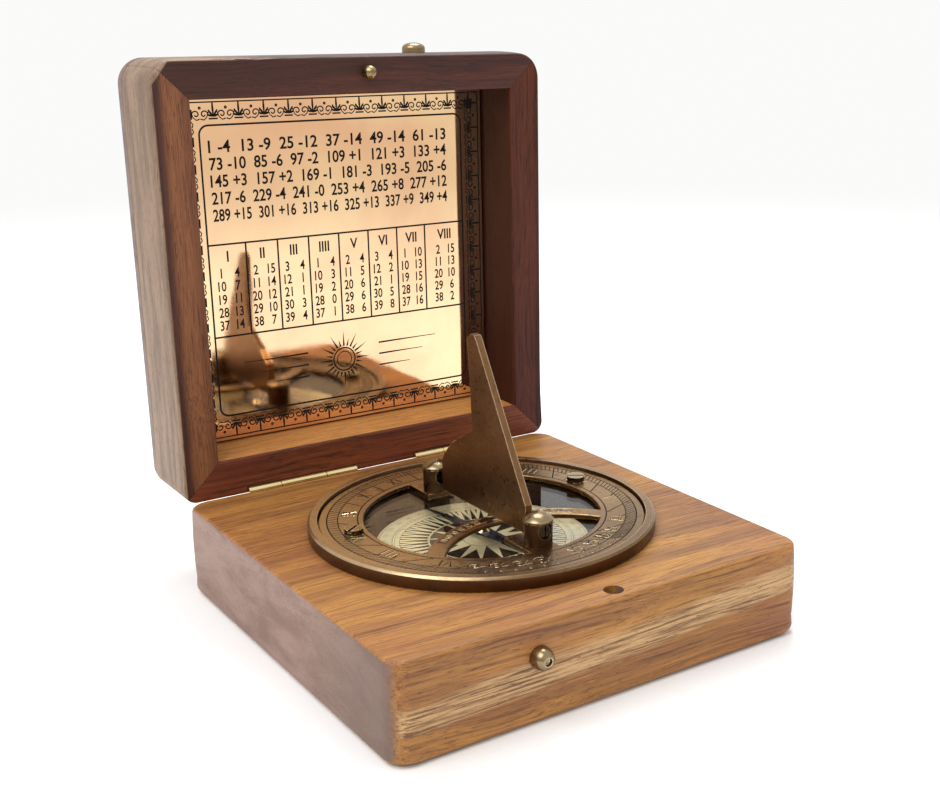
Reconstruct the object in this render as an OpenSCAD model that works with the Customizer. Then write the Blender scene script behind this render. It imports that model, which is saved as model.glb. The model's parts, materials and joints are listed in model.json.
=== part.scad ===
// Pocket sundial: a sundial compass in a hinged wooden box.
// Millimetres. X runs along the hinge, Y points to the hinge side, Z is up.
// The origin is the centre of the base's bottom face. The lid stands open.

/* [Box] */
// Width and depth of the square box
box_w = 101.6; // [96:0.1:110]
// Height of the base block
base_h = 21.4; // [20:0.1:26]
// Height of the lid over its rim
lid_h = 22.9; // [21:0.1:28]
// Thickness of the lid's walls
wall_t = 8.9; // [7:0.1:9.2]
// Radius of the base's upright corners
base_corner_r = 2.2; // [1:0.1:5]
// Radius of the lid's upright corners away from the hinges
lid_corner_r = 6.2; // [3:0.1:7]
// Radius of the lid's upright corners beside the hinges
lid_back_r = 3; // [2:0.1:7]
// Thickness of the lid's top panel at its edge
panel_t = 3.6; // [3:0.1:5]
// Depth from the lid's rim to the face of the brass plate
recess_d = 14.2; // [13:0.1:15]
// Gap that stays between the closed lid and the base
rim_gap = 0.3; // [0.2:0.05:0.5]
// How far the lid stands open
lid_angle = 90; // [90:1:90]

/* [Hinges] */
// Centre of the left hinge along the box
left_hinge_x = -20.9; // [-24:0.1:-18]
// Centre of the right hinge along the box
right_hinge_x = 24.7; // [20:0.1:26]
// Length of a hinge
hinge_w = 28.7; // [24:0.1:30]
// Share of the hinge's length in its middle knuckle
middle_share = 0.42; // [0.3:0.01:0.5]
// Radius of the knuckles
knuckle_r = 1.1; // [1:0.05:1.2]
// Radius of the hinge pins
hinge_pin_r = 0.5; // [0.4:0.05:0.6]
// Distance from the hinge axis forward to the box's back face
hinge_inset = 0.4; // [0.4:0.05:0.6]
// Thickness of the hinge leaves
leaf_t = 0.8; // [0.6:0.05:0.8]
// Reach of a leaf from the hinge axis
leaf_h = 8; // [6:0.1:9]

/* [Closure] */
// Position along the box of the peg and of its hole
peg_x = 1.6; // [-10:0.1:10]
// Radius of the peg's head
peg_r = 1.6; // [1.2:0.05:1.8]
// How far the peg stands out of the rim
peg_out = 3.2; // [2:0.1:4]
// Position along the box of the lid's knob
lid_knob_x = 20.6; // [10:0.1:30]
// Height of the lid's knob above the rim
lid_knob_z = 11.5; // [9:0.1:14]
// Position along the box of the base's knob
base_knob_x = -19; // [-30:0.1:-10]
// Height of the base's knob
base_knob_z = 14.3; // [12:0.1:17]
// Radius of the lid's knob
lid_knob_r = 2.9; // [2:0.1:3.2]
// Radius of the base's knob
base_knob_r = 2.4; // [2:0.1:3]

/* [Compass] */
// Radius of the bowl's flange on the wood
flange_r = 39; // [38.5:0.1:40]
// Height of the flange's raised lip above the wood
lip_h = 3.2; // [3:0.1:4]
// Inner radius of the raised lip
lip_in_r = 36.9; // [36.5:0.1:37.2]
// Radius of the bowl in the wood
bowl_r = 35.5; // [34.5:0.1:36]
// Depth of the bowl below the wood's face
bowl_depth = 9; // [8.5:0.1:12]
// Radius of the engraved compass card
card_r = 24.2; // [22:0.1:26]
// Depth of the card's face below the wood's face
card_depth = 4.6; // [4:0.1:5]
// Length of the needle from tip to tip
needle_l = 42; // [34:0.5:44]
// Direction in which the needle points at rest, from the hinge side
needle_angle = 9; // [0:1:359]

/* [Dial] */
// Thickness of the pierced dial plate
dial_t = 1.2; // [1:0.1:1.3]
// Radius of the window in the dial plate
window_r = 26.7; // [26:0.1:27]
// Radius of the outer edge of the number band
band_r = 28; // [27:0.1:29]
// Distance of the number band's centre in front of the dial's centre
band_y = 30.6; // [29:0.1:31]
// Width of the number band
band_w = 4.1; // [3:0.1:5]
// Distance of the dial screws from the dial's middle line
screw_x = 29.6; // [29.4:0.1:31]
// Distance of the dial screws behind the dial's centre
screw_y = 5.2; // [3:0.1:8]
// Radius of the dial screws' heads
screw_head_r = 2.1; // [1.8:0.1:2.4]

/* [Gnomon] */
// Sideways place of the gnomon and its posts
gnomon_x = -0.8; // [-1:0.1:1]
// Place of the rear post
rear_post_y = 19.3; // [18:0.1:21]
// Place of the front post
front_post_y = -23.6; // [-25:0.1:-22]
// Radius of the posts
post_r = 3.1; // [2.8:0.1:3.3]
// Height of a post's straight part above the dial
post_h = 5.6; // [5.4:0.1:6.5]
// Height of the pivot axis above the dial
pivot_h = 4.0; // [3.8:0.1:4.2]
// Thickness of the gnomon
gnomon_t = 1.7; // [1.4:0.1:2]
// Height of the gnomon's tip above the dial
gnomon_top = 41.5; // [36:0.1:42]
// Angle of the style edge to the dial
style_angle = 60.2; // [60:0.1:62]
// Place on the dial at which the style edge would meet it
style_foot_y = -24.5; // [-24.8:0.1:-24]

/* [Hidden] */
$fn = 64;

eps = 0.01;
wood_light = "#b07a45";
wood_dark = "#5c3027";
brass_aged = "#6b5836";
brass_bright = "#cfae62";

half_w = box_w / 2;
hinge_y = half_w - hinge_inset;
hinge_z = base_h + rim_gap / 2;
rim_z = base_h + rim_gap;
panel_z = rim_z + lid_h - panel_t;
plate_t = 0.5;
plate_z = rim_z + recess_d;
field_z = plate_z + plate_t;
inner_w = box_w - 2 * wall_t;
plate_margin = 0.6;
field_margin = 0.2;

middle_w = hinge_w * middle_share;
outer_w = (hinge_w - middle_w) / 2;
knuckle_gap = 0.1;
knuckle_relief = knuckle_r + 0.15;
leaf_clear = knuckle_r + 0.15;
pin_clearance = 0.05;
leaf_screw_x = 9.5;
leaf_screw_z = 5;
leaf_screw_head_r = 1.45;
leaf_screw_shank_r = 0.7;
leaf_screw_l = 6.5;

peg_y = wall_t / 2 - half_w - 0.5;
peg_hole_r = peg_r + 0.5;
peg_hole_depth = peg_out + 0.6;
tang_r = 0.9;
tang_l = 5;
knob_collar_h = 1.2;
knob_dome_h = 1.3;

pocket_r = bowl_r + 0.3;
pocket_depth = bowl_depth + 0.6;
dial_top = base_h + lip_h - 0.7;
dial_z = dial_top - dial_t;
dial_r = lip_in_r - 0.3;
glass_t = 1.2;
glass_r = window_r + 1.5;
glass_z = dial_z - glass_t;
bowl_in_r = window_r + 0.6;
card_t = 0.8;
card_z = base_h - card_depth - card_t;
bowl_floor = card_z - 2;
screw_shank_r = 1;
screw_shank_l = 4;
screw_head_h = 1.4;
band_mid_y = -band_y;
tab_half_w = 3.6;
rear_tab_y = 17;
front_tab_y = -15.6;

needle_w = 4;
needle_t = 0.4;
needle_z = card_z + card_t + 1.6;
pivot_pin_r = 0.45;
needle_cap_r = 1.6;

pivot_z = dial_top + pivot_h;
dome_h = 1.9;
post_bore_r = 1.3;
post_rivet_r = 1.3;
trunnion_r = 0.6;
trunnion_in = 2.2;
pivot_screw_l = 2.6;
gnomon_gap = 0.5;
gnomon_rear_y = rear_post_y - post_r - 1.3;
gnomon_front_y = front_post_y + post_r + gnomon_gap;
gnomon_bottom = 1.5;
neck_y = 1.1;
neck_z = 19.4;
tip_r = 1.3;

// Puts a shape drawn for the closed lid where the open lid holds it.
module on_lid() {
  translate([0, hinge_y, hinge_z])
    rotate([-lid_angle, 0, 0])
      translate([0, -hinge_y, -hinge_z])
        children();
}

// A square prism on z = 0, its upright corners rounded by front_r at -Y and back_r at +Y.
module rounded_prism(w, front_r, back_r, h) {
  translate([-w / 2, -w / 2 + front_r, 0]) cube([w, w - front_r - back_r, h]);
  for (side = [-1, 1]) {
    r = side < 0 ? front_r : back_r;
    translate([-w / 2 + r, side < 0 ? -w / 2 : 0, 0]) cube([w - 2 * r, w / 2, h]);
    for (sx = [-1, 1])
      translate([sx * (w / 2 - r), side * (w / 2 - r), 0]) cylinder(r = r, h = h);
  }
}

// A cylinder from x = 0 along +X.
module rod_x(r, l) {
  rotate([0, 90, 0]) cylinder(r = r, h = l);
}

// A cylinder from y = 0 along -Y.
module rod_front(r, l) {
  rotate([90, 0, 0]) cylinder(r = r, h = l);
}

// Recess in a back edge for one hinge: knuckle groove and leaf mortise.
// The side is 1 above the hinge axis and -1 below it.
module hinge_mortise(side) {
  for (x = [left_hinge_x, right_hinge_x]) {
    translate([x - hinge_w / 2 - knuckle_gap, hinge_y, hinge_z])
      rod_x(knuckle_relief, hinge_w + 2 * knuckle_gap);
    translate([x - hinge_w / 2, half_w - leaf_t, hinge_z + (side < 0 ? -leaf_h : 0)])
      cube([hinge_w, leaf_t + 1, leaf_h]);
    for (sx = [-1, 1])
      translate([x + sx * leaf_screw_x, half_w, hinge_z + side * leaf_screw_z])
        rod_front(leaf_screw_shank_r, leaf_screw_l);
  }
}

// Step along a back edge, in which the open lid's edge comes to rest.
// The side is 1 above the edge and -1 below it.
module back_step(edge_z, side) {
  translate([-half_w - 1, hinge_y, edge_z + (side < 0 ? -hinge_inset : -1)])
    cube([box_w + 2, hinge_inset + 1, hinge_inset + 1]);
}

module base_block() {
  color(wood_light)
    difference() {
      rounded_prism(box_w, base_corner_r, base_corner_r, base_h);
      translate([0, 0, base_h - pocket_depth])
        cylinder(r = pocket_r, h = pocket_depth + 1);
      translate([peg_x, peg_y, base_h - peg_hole_depth])
        cylinder(r = peg_hole_r, h = peg_hole_depth + 1);
      translate([base_knob_x, -half_w, base_knob_z])
        rotate([-90, 0, 0]) cylinder(r = tang_r, h = tang_l);
      hinge_mortise(-1);
      back_step(base_h, -1);
    }
}

// The lid's four walls before they are cut apart at the mitres.
module lid_frame() {
  difference() {
    translate([0, 0, rim_z]) rounded_prism(box_w, lid_corner_r, lid_back_r, panel_z - rim_z);
    translate([-inner_w / 2, -inner_w / 2, rim_z - 1])
      cube([inner_w, inner_w, lid_h]);
    translate([lid_knob_x, -half_w, rim_z + lid_knob_z])
      rotate([-90, 0, 0]) cylinder(r = tang_r, h = tang_l);
    translate([peg_x, peg_y, rim_z]) cylinder(r = tang_r, h = tang_l);
    hinge_mortise(1);
    back_step(rim_z, 1);
  }
}

// One mitred wall; the turn is 0 at the front, then 90, 180 and 270.
module lid_wall(turn) {
  color(wood_dark)
    on_lid()
      intersection() {
        lid_frame();
        rotate([0, 0, turn])
          translate([0, 0, rim_z])
            linear_extrude(panel_z - rim_z)
              polygon([[0, 0], [-half_w, -half_w], [half_w, -half_w]]);
      }
}

module lid_panel() {
  field_w = inner_w - field_margin;
  color(wood_dark)
    on_lid() {
      translate([0, 0, panel_z]) rounded_prism(box_w, lid_corner_r, lid_back_r, panel_t);
      translate([-field_w / 2, -field_w / 2, field_z])
        cube([field_w, field_w, panel_z - field_z + eps]);
    }
}

module lid_plate() {
  w = inner_w - 2 * plate_margin;
  color(brass_bright)
    on_lid()
      translate([0, 0, plate_z]) rounded_prism(w, 1, 1, plate_t);
}

// A leaf with its knuckles, on the hinge axis, reaching up from it.
// Spans are the places of its own knuckles, others those of its partner's.
module leaf(spans, others, bore_r) {
  difference() {
    union() {
      translate([-hinge_w / 2, hinge_inset - leaf_t, knuckle_r / 2])
        cube([hinge_w, leaf_t, leaf_h - knuckle_r / 2]);
      for (s = spans) translate([s[0], 0, 0]) rod_x(knuckle_r, s[1]);
    }
    for (s = others)
      translate([s[0] - knuckle_gap, -knuckle_r, -knuckle_r])
        cube([s[1] + 2 * knuckle_gap, 2 * knuckle_r, knuckle_r + leaf_clear]);
    translate([-hinge_w / 2 - 1, 0, 0]) rod_x(bore_r, hinge_w + 2);
    for (sx = [-1, 1])
      translate([sx * leaf_screw_x, hinge_inset, leaf_screw_z]) {
        translate([0, eps, 0]) rod_front(leaf_screw_shank_r, leaf_t + 1);
        rod_cone(leaf_screw_head_r, leaf_screw_shank_r, leaf_t);
      }
  }
}

// A cone that narrows from y = 0 along -Y.
module rod_cone(r1, r2, l) {
  rotate([90, 0, 0]) cylinder(r1 = r1, r2 = r2, h = l);
}

outer_spans = [[-hinge_w / 2, outer_w], [hinge_w / 2 - outer_w, outer_w]];
middle_spans = [[-middle_w / 2 + knuckle_gap, middle_w - 2 * knuckle_gap]];
middle_room = [[-middle_w / 2, middle_w]];

module hinge_base_leaf(x) {
  color(brass_bright)
    translate([x, hinge_y, hinge_z])
      mirror([0, 0, 1]) leaf(outer_spans, middle_room, hinge_pin_r);
}

module hinge_lid_leaf(x) {
  color(brass_bright)
    on_lid()
      translate([x, hinge_y, hinge_z])
        leaf(middle_spans, outer_spans, hinge_pin_r + pin_clearance);
}

module hinge_pin(x) {
  color(brass_bright)
    translate([x - hinge_w / 2, hinge_y, hinge_z]) rod_x(hinge_pin_r, hinge_w);
}

// Slotted countersunk wood screws of both hinges, on one side of the axis.
module leaf_screws(side) {
  slot_w = 0.4;
  slot_d = 0.3;
  for (x = [left_hinge_x, right_hinge_x], sx = [-1, 1])
    translate([x + sx * leaf_screw_x, half_w, hinge_z + side * leaf_screw_z])
      difference() {
        union() {
          rod_cone(leaf_screw_head_r, leaf_screw_shank_r, leaf_t);
          rod_front(leaf_screw_shank_r, leaf_screw_l);
        }
        translate([-slot_w / 2, -slot_d, -leaf_screw_head_r])
          cube([slot_w, slot_d + 1, 2 * leaf_screw_head_r]);
      }
}

module hinge_base_screws() {
  color(brass_bright) leaf_screws(-1);
}

module hinge_lid_screws() {
  color(brass_bright) on_lid() leaf_screws(1);
}

// A turned knob that stands on z = 0 with a tang below.
module knob(r, collar_h, dome, tip_flat) {
  rotate_extrude()
    polygon(concat(
      [[0, -tang_l], [tang_r, -tang_l], [tang_r, 0], [r, 0], [r, collar_h]],
      [for (a = [15:15:75])
        [tip_flat + (r - tip_flat) * cos(a), collar_h + dome * sin(a)]],
      [[tip_flat, collar_h + dome], [0, collar_h + dome]]
    ));
}

module lid_knob() {
  color(brass_aged)
    on_lid()
      translate([lid_knob_x, -half_w, rim_z + lid_knob_z])
        rotate([90, 0, 0]) knob(lid_knob_r, knob_collar_h, knob_dome_h, 0.6);
}

module base_knob() {
  color(brass_aged)
    translate([base_knob_x, -half_w, base_knob_z])
      rotate([90, 0, 0]) knob(base_knob_r, 0.6, 2.6, 1.1);
}

module lid_peg() {
  color(brass_bright)
    on_lid()
      translate([peg_x, peg_y, rim_z])
        rotate([180, 0, 0]) knob(peg_r, peg_out - peg_r, peg_r, 0.2);
}

module compass_bowl() {
  color(brass_aged)
    difference() {
      rotate_extrude()
        polygon([
          [0, base_h - bowl_depth], [bowl_r - 1.5, base_h - bowl_depth],
          [bowl_r, base_h - bowl_depth + 1.5], [bowl_r, base_h],
          [flange_r, base_h], [flange_r, base_h + lip_h - 0.5],
          [flange_r - 0.5, base_h + lip_h], [lip_in_r, base_h + lip_h],
          [lip_in_r, dial_z], [glass_r + 0.1, dial_z],
          [glass_r + 0.1, glass_z], [bowl_in_r, glass_z],
          [bowl_in_r, bowl_floor], [card_r, bowl_floor], [card_r, card_z],
          [0, card_z]
        ]);
      for (sx = [-1, 1])
        translate([sx * screw_x, screw_y, dial_z - screw_shank_l])
          cylinder(r = screw_shank_r, h = screw_shank_l + 1);
      translate([0, 0, base_h - bowl_depth - 1])
        cylinder(r = pivot_pin_r, h = bowl_depth);
    }
}

module compass_card() {
  color(brass_bright)
    translate([0, 0, card_z])
      difference() {
        cylinder(r = card_r, h = card_t);
        translate([0, 0, -1]) cylinder(r = pivot_pin_r, h = card_t + 2);
      }
}

module compass_glass() {
  color("lightblue", 0.4)
    translate([0, 0, glass_z]) cylinder(r = glass_r, h = glass_t);
}

module needle_pivot() {
  pin_top = needle_z + 0.9;
  pin_bottom = base_h - bowl_depth;
  color(brass_aged)
    translate([0, 0, pin_bottom]) {
      cylinder(r = pivot_pin_r, h = pin_top - pin_bottom - 0.5);
      translate([0, 0, pin_top - pin_bottom - 0.5])
        cylinder(r1 = pivot_pin_r, r2 = 0.1, h = 0.5);
    }
}

module needle() {
  color("#2c3040")
    translate([0, 0, needle_z])
      rotate([0, 0, needle_angle])
        difference() {
          linear_extrude(needle_t)
            polygon([
              [0, needle_l / 2], [-needle_w / 2, 0], [0, -needle_l / 2],
              [needle_w / 2, 0]
            ]);
          translate([0, 0, -1]) cylinder(r = needle_cap_r - 0.5, h = needle_t + 2);
        }
}

module needle_cap() {
  shank_r = needle_cap_r - 0.5;
  color(brass_bright)
    translate([0, 0, needle_z])
      difference() {
        union() {
          translate([0, 0, -0.3]) cylinder(r = shank_r, h = needle_t + 0.3);
          translate([0, 0, needle_t]) cylinder(r1 = needle_cap_r, r2 = 0.9, h = 0.9);
        }
        translate([0, 0, -1]) cylinder(r = pivot_pin_r + pin_clearance, h = 2);
      }
}

// The pierced plate: hour ring, number band and the tabs under the posts.
module dial_plate() {
  color(brass_aged)
    translate([0, 0, dial_z])
      difference() {
        union() {
          difference() {
            cylinder(r = dial_r, h = dial_t);
            translate([0, 0, -1]) cylinder(r = window_r, h = dial_t + 2);
          }
          number_band();
          post_tab(rear_post_y, rear_tab_y);
          post_tab(front_post_y, front_tab_y);
        }
        for (sx = [-1, 1])
          translate([sx * screw_x, screw_y, -1])
            cylinder(r = screw_shank_r + 0.1, h = dial_t + 2);
        for (y = [rear_post_y, front_post_y])
          translate([gnomon_x, y, -1]) cylinder(r = post_rivet_r, h = dial_t + 2);
      }
}

// An arched band across the window, cut off under the hour ring.
module number_band() {
  intersection() {
    translate([0, band_mid_y, 0])
      difference() {
        cylinder(r = band_r, h = dial_t);
        translate([0, 0, -1]) cylinder(r = band_r - band_w, h = dial_t + 2);
      }
    cylinder(r = window_r + 1, h = dial_t);
  }
}

// A tab from the ring inwards to edge_y, under the post at post_y.
module post_tab(post_y, edge_y) {
  out = sign(post_y) * (window_r + 1);
  intersection() {
    translate([gnomon_x - tab_half_w, min(edge_y, out), 0])
      cube([2 * tab_half_w, abs(out - edge_y), dial_t]);
    cylinder(r = window_r + 1, h = dial_t);
  }
}

module dial_screws() {
  slot_w = 0.7;
  slot_d = 0.6;
  color(brass_bright)
    for (sx = [-1, 1])
      translate([sx * screw_x, screw_y, dial_top])
        difference() {
          union() {
            cylinder(r = screw_head_r, h = screw_head_h);
            translate([0, 0, -dial_t - screw_shank_l])
              cylinder(r = screw_shank_r, h = dial_t + screw_shank_l + eps);
          }
          rotate([0, 0, 90 - 35 * sx])
            translate([-slot_w / 2, -screw_head_r - 1, screw_head_h - slot_d])
              cube([slot_w, 2 * screw_head_r + 2, slot_d + 1]);
        }
}

// A pivot post with its rivet through the dial plate and its cross bore.
module post(y) {
  color(brass_aged)
    translate([gnomon_x, y, dial_top])
      difference() {
        union() {
          cylinder(r = post_r, h = post_h);
          translate([0, 0, -dial_t]) cylinder(r = post_rivet_r, h = dial_t + eps);
        }
        translate([0, post_r + 1, pivot_h]) rod_front(post_bore_r, 2 * post_r + 2);
      }
}

// Domed caps, one on each post: a ball's crown over a short straight rim.
module post_domes() {
  rim_h = 0.5;
  cap_r = post_r + 0.15;
  crown_h = dome_h - rim_h;
  ball_r = (cap_r * cap_r + crown_h * crown_h) / (2 * crown_h);
  color(brass_aged)
    for (y = [rear_post_y, front_post_y])
      translate([gnomon_x, y, dial_top + post_h])
        intersection() {
          cylinder(r = cap_r, h = dome_h);
          translate([0, 0, dome_h - ball_r]) sphere(r = ball_r);
        }
}

// A slotted pivot screw with its head end at y = 0 and its bearing at -Y.
module pivot_screw() {
  slot_w = 0.5;
  slot_d = 0.6;
  difference() {
    rod_front(post_bore_r, pivot_screw_l);
    translate([0, -slot_d, 0])
      rod_front(trunnion_r + pin_clearance, pivot_screw_l);
    translate([-slot_w / 2, -slot_d, -post_bore_r - 1])
      cube([slot_w, slot_d + 1, 2 * post_bore_r + 2]);
  }
}

module rear_pivot_screw() {
  color(brass_bright)
    translate([gnomon_x, rear_post_y, pivot_z])
      translate([0, pivot_screw_l - trunnion_in + post_r - 0.8, 0])
        pivot_screw();
}

module front_pivot_screw() {
  color(brass_bright)
    translate([gnomon_x, front_post_y, pivot_z])
      rotate([0, 0, 180])
        translate([0, pivot_screw_l - trunnion_in + post_r - 0.8, 0])
          pivot_screw();
}

// Outline of the gnomon in the plane of Y (first) and height over the dial.
function style_y(z) = style_foot_y + z / tan(style_angle);
tip_y = style_y(gnomon_top - tip_r) + tip_r / sin(style_angle);
neck_curve = [
  for (t = [0:0.2:1])
    let (z = gnomon_top - tip_r + t * (neck_z - gnomon_top + tip_r))
      [neck_y + (tip_y + tip_r + 1.2 - neck_y) * pow(1 - t, 1.6), z]
];

module gnomon_outline() {
  polygon(concat(
    [[gnomon_front_y, gnomon_bottom], [gnomon_rear_y, gnomon_bottom],
     [gnomon_rear_y, 8.5], [gnomon_rear_y - 1.2, 10.8],
     [gnomon_rear_y - 4.8, 14.3], [neck_y + 4, 17.2]],
    [for (i = [len(neck_curve) - 1:-1:0]) neck_curve[i]],
    [[tip_y + 0.6, gnomon_top], [tip_y - 0.7, gnomon_top - 0.2],
     [style_y(gnomon_top - tip_r), gnomon_top - tip_r],
     [gnomon_front_y, tan(style_angle) * (gnomon_front_y - style_foot_y)]]
  ));
}

module gnomon() {
  rear_pin = rear_post_y - post_r + trunnion_in;
  front_pin = front_post_y + post_r - trunnion_in;
  color(brass_aged) {
    translate([gnomon_x + gnomon_t / 2, 0, dial_top])
      rotate([0, 0, 90])
        rotate([90, 0, 0])
          translate([0, 0, -gnomon_t])
            linear_extrude(gnomon_t) gnomon_outline();
    translate([gnomon_x, rear_pin, pivot_z])
      rod_front(trunnion_r, rear_pin - gnomon_rear_y + eps);
    translate([gnomon_x, gnomon_front_y + eps, pivot_z])
      rod_front(trunnion_r, gnomon_front_y - front_pin + eps);
  }
}

base_block();
lid_wall(0);  // lid_front_wall
lid_wall(180);  // lid_back_wall
lid_wall(270);  // lid_left_wall
lid_wall(90);  // lid_right_wall
lid_panel();
lid_plate();
hinge_base_leaf(left_hinge_x);  // left_hinge_base_leaf
hinge_lid_leaf(left_hinge_x);  // left_hinge_lid_leaf
hinge_pin(left_hinge_x);  // left_hinge_pin
hinge_base_leaf(right_hinge_x);  // right_hinge_base_leaf
hinge_lid_leaf(right_hinge_x);  // right_hinge_lid_leaf
hinge_pin(right_hinge_x);  // right_hinge_pin
hinge_base_screws();
hinge_lid_screws();
lid_knob();
base_knob();
lid_peg();
compass_bowl();
compass_card();
compass_glass();
needle();
needle_cap();
needle_pivot();
dial_plate();
dial_screws();
post(rear_post_y);  // rear_post
post(front_post_y);  // front_post
post_domes();
rear_pivot_screw();
front_pivot_screw();
gnomon();
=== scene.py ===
import json
import math

import bmesh
import bpy
from mathutils import Matrix, Vector

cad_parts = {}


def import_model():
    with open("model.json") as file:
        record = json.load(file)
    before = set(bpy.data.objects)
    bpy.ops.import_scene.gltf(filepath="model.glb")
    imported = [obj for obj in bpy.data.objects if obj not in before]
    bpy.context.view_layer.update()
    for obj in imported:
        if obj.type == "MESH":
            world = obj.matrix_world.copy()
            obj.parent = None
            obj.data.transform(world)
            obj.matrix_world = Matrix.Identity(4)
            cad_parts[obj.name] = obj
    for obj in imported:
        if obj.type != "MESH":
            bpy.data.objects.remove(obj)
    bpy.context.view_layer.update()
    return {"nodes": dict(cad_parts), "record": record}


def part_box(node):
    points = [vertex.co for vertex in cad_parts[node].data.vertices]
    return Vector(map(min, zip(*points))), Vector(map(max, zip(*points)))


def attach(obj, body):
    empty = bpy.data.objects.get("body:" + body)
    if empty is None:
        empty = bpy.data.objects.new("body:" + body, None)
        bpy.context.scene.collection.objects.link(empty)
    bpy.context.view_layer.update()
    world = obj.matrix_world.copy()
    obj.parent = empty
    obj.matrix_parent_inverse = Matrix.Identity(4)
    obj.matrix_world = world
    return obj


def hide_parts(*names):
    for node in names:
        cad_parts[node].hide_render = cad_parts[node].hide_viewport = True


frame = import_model()

# -------- sizes, in metres

MM = 0.001


def middle_of(node):
    low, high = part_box(node)
    return (low + high) / 2


BASE_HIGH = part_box("base_block")[1]
TOP_Z = BASE_HIGH.z                                # the wood's top face
HALF_W = BASE_HIGH.x
DIAL_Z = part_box("dial_plate")[1].z                 # the dial's engraved face
CARD_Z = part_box("compass_card")[1].z
CARD_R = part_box("compass_card")[1].x
PLATE_LOW, PLATE_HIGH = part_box("lid_plate")
RIM_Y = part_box("lid_front_wall")[0].y              # the lid's rim faces -Y when it stands open
PANEL_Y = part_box("lid_front_wall")[1].y
LID_BACK_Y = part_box("lid_panel")[1].y
LID_LOW_Z, LID_HIGH_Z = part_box("lid_panel")[0].z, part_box("lid_panel")[1].z
LID_MID_Z = middle_of("lid_panel").z
WALL_T = LID_HIGH_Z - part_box("lid_front_wall")[0].z
FIELD_Y = PLATE_HIGH.y                             # the panel's raised field, under the plate
JOINTS = {joint["name"]: joint for joint in frame["record"]["behaviour"]["joints"]}
HINGE = Vector(JOINTS["lid_hinge"]["pos_m"])
POCKET_R, POCKET_DEPTH = 35.8 * MM, 9.6 * MM      # the round pocket for the compass bowl
PEG_HOLE_R, PEG_HOLE_DEPTH = 2.1 * MM, 3.8 * MM
HINGE_GROOVE_R = 1.25 * MM
LID_CORNER, LID_HINGE_CORNER = 6.2 * MM, 3.0 * MM  # the lid's outer corner radii


# -------- node helpers

class Nodes:
    """A node tree, with a short call for each kind of node."""

    def __init__(self, tree):
        self.tree = tree

    def put(self, socket, value):
        """Links a socket, or sets a constant, whichever value is."""
        if isinstance(value, bpy.types.NodeSocket):
            self.tree.links.new(value, socket)
        else:
            socket.default_value = value

    def add(self, kind, inputs=None, **settings):
        made = self.tree.nodes.new(kind)
        for key, value in settings.items():
            setattr(made, key, value)
        for key, value in (inputs or {}).items():
            self.put(made.inputs[key], value)
        return made

    def place(self, scale=(1, 1, 1), shift=(0, 0, 0), turn=(0, 0, 0)):
        """The piece's own coordinates in millimetres, shifted, turned and then scaled."""
        coords = self.add("ShaderNodeTexCoord").outputs["Object"]
        in_mm = self.scaled(coords, (1000, 1000, 1000))
        mapped = self.add("ShaderNodeMapping", {"Vector": in_mm, "Location": shift, "Rotation": turn})
        return self.scaled(mapped.outputs[0], scale)

    def spot(self):
        """The x, y and z of place()."""
        return self.split(self.place())

    def noise(self, vector, scale, detail=4, rough=0.55, distortion=0):
        return self.add("ShaderNodeTexNoise", {
            "Vector": vector, "Scale": scale, "Detail": detail, "Roughness": rough,
            "Distortion": distortion}).outputs["Fac"]

    def maths(self, operation, a, b=0.0):
        return self.add("ShaderNodeMath", {0: a, 1: b}, operation=operation).outputs[0]

    def times(self, a, b):
        return self.maths("MULTIPLY", a, b)

    def plus(self, a, b):
        return self.maths("ADD", a, b)

    def scaled(self, vector, by):
        """A vector times another, axis by axis."""
        return self.add("ShaderNodeVectorMath", {0: vector, 1: by}, operation="MULTIPLY").outputs[0]

    def span(self, value, low, high, to_low=0.0, to_high=1.0):
        """A value between low and high, eased to between to_low and to_high."""
        return self.add("ShaderNodeMapRange", {
            "Value": value, "From Min": low, "From Max": high, "To Min": to_low,
            "To Max": to_high}, interpolation_type="SMOOTHSTEP").outputs[0]

    def ramp(self, value, stops):
        """Colours along a value; each stop is (place, (r, g, b))."""
        made = self.add("ShaderNodeValToRGB", {"Fac": value})
        bands = made.color_ramp.elements
        while len(bands) < len(stops):
            bands.new(0.5)
        for band, (place, colour) in zip(bands, stops):
            band.position = place
            band.color = (*colour, 1)
        return made.outputs["Color"]

    def mix(self, share, a, b, blend="MIX"):
        made = self.add("ShaderNodeMix", data_type="RGBA", blend_type=blend)
        for index, value in ((0, share), (6, a), (7, b)):
            if isinstance(value, tuple) and len(value) == 3:
                value = (*value, 1)
            self.put(made.inputs[index], value)
        return made.outputs[2]

    def split(self, vector):
        return self.add("ShaderNodeSeparateXYZ", {0: vector}).outputs

    def bump(self, height, strength, distance, under=None):
        inputs = {"Height": height, "Strength": strength, "Distance": distance}
        if under is not None:
            inputs["Normal"] = under
        return self.add("ShaderNodeBump", inputs).outputs[0]

    def edges(self, radius):
        """1 at worn edges and 0 on open faces."""
        soft = self.add("ShaderNodeBevel", {"Radius": radius}, samples=6).outputs[0]
        flat = self.add("ShaderNodeNewGeometry").outputs["Normal"]
        dot = self.add("ShaderNodeVectorMath", {0: soft, 1: flat}, operation="DOT_PRODUCT")
        return self.span(dot.outputs["Value"], 0.995, 0.86)


FINISHES = {}


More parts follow.
